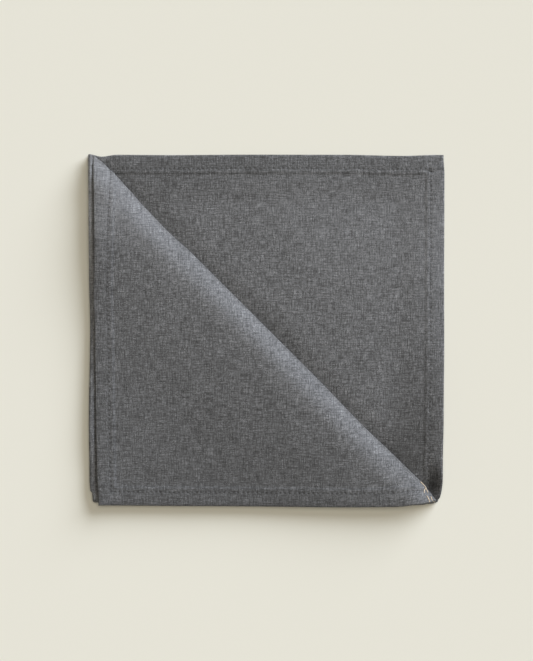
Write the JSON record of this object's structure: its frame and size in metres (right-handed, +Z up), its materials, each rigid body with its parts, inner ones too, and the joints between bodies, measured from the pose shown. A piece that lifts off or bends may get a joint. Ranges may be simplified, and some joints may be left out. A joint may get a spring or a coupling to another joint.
{
  "type": "folded napkin",
  "caption": "Grey linen napkin folded in quarters, its free top corner turned back along the diagonal",
  "frame": {"origin": "middle of the napkin's outline, on the surface it rests on", "axes": "+Z up out of the surface, +X towards the open hemmed side on the right, +Y towards the open hemmed top edge"},
  "size_m": [0.226, 0.2242, 0.0096],
  "materials": {
    "linen": "matte plain-woven linen"
  },
  "bodies": {
    "root": {"napkin": "linen"}
  },
  "joints": []
}
